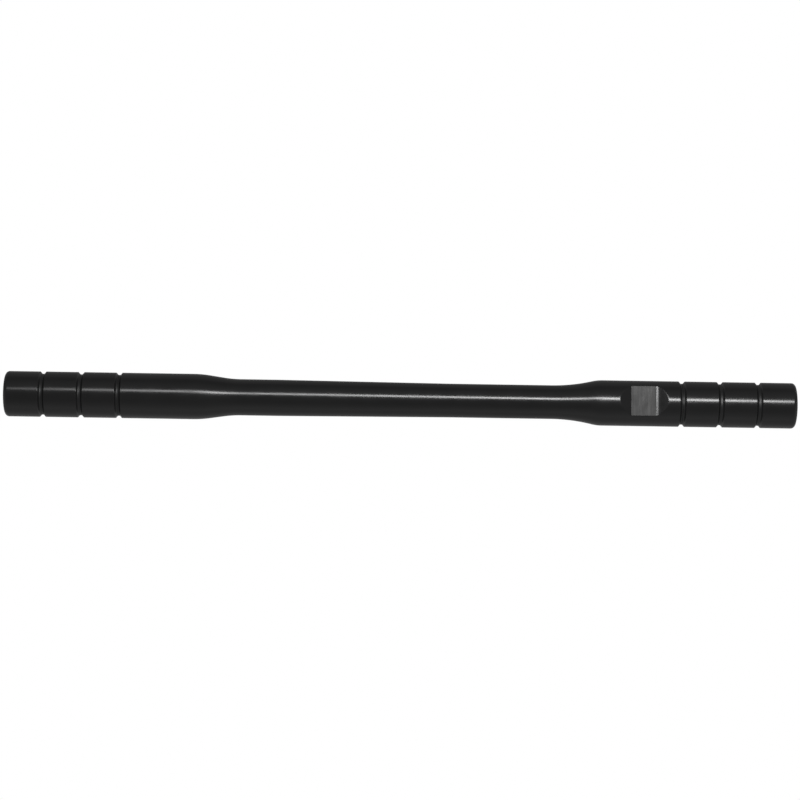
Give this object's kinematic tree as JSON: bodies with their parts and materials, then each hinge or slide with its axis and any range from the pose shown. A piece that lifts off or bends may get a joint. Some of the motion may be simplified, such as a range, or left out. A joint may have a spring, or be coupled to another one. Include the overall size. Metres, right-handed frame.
{
  "type": "spring bar tool",
  "caption": "Slim waisted black handle with a notched fork tip and a drift pin tip, each under a grooved pull-off cap, and wrench flats beside the fork end.",
  "frame": {"origin": "middle of the tool's length, on its axis, caps on", "axes": "+X along the axis towards the fork end, +Z out of one wrench flat"},
  "size_m": [0.139, 0.008, 0.008],
  "materials": {
    "black_anodised": "gloss black anodised",
    "bush_brass": "turned",
    "ferrule_steel": "bright nickel plated",
    "tool_steel": "hardened and ground",
    "seal_rubber": "matt black nitrile"
  },
  "bodies": {
    "handle": {"handle": "black_anodised", "pin_end_bush": "bush_brass", "fork_end_bush": "bush_brass", "pin_ferrule": "ferrule_steel", "fork_ferrule": "ferrule_steel", "drift_pin": "tool_steel", "fork_blade": "tool_steel"},
    "fork_ring": {"fork_cap_ring": "seal_rubber"},
    "fork_cap": {"fork_cap_sleeve": "black_anodised", "fork_cap_plug": "black_anodised", "fork_cap_bumper": "seal_rubber"},
    "pin_ring": {"pin_cap_ring": "seal_rubber"},
    "pin_cap": {"pin_cap_sleeve": "black_anodised", "pin_cap_plug": "black_anodised", "pin_cap_bumper": "seal_rubber"}
  },
  "joints": [
    {"name": "fork_cap_pull", "type": "slide", "parent": "handle", "child": "fork_ring", "axis": [1, 0, 0], "range_m": [0, 0.03]},
    {"name": "fork_cap_turn", "type": "hinge", "parent": "fork_ring", "child": "fork_cap", "pos_m": [0.0521, 0, 0], "axis": [1, 0, 0], "continuous": true},
    {"name": "pin_cap_pull", "type": "slide", "parent": "handle", "child": "pin_ring", "axis": [-1, 0, 0], "range_m": [0, 0.03]},
    {"name": "pin_cap_turn", "type": "hinge", "parent": "pin_ring", "child": "pin_cap", "pos_m": [-0.0521, 0, 0], "axis": [-1, 0, 0], "continuous": true}
  ]
}
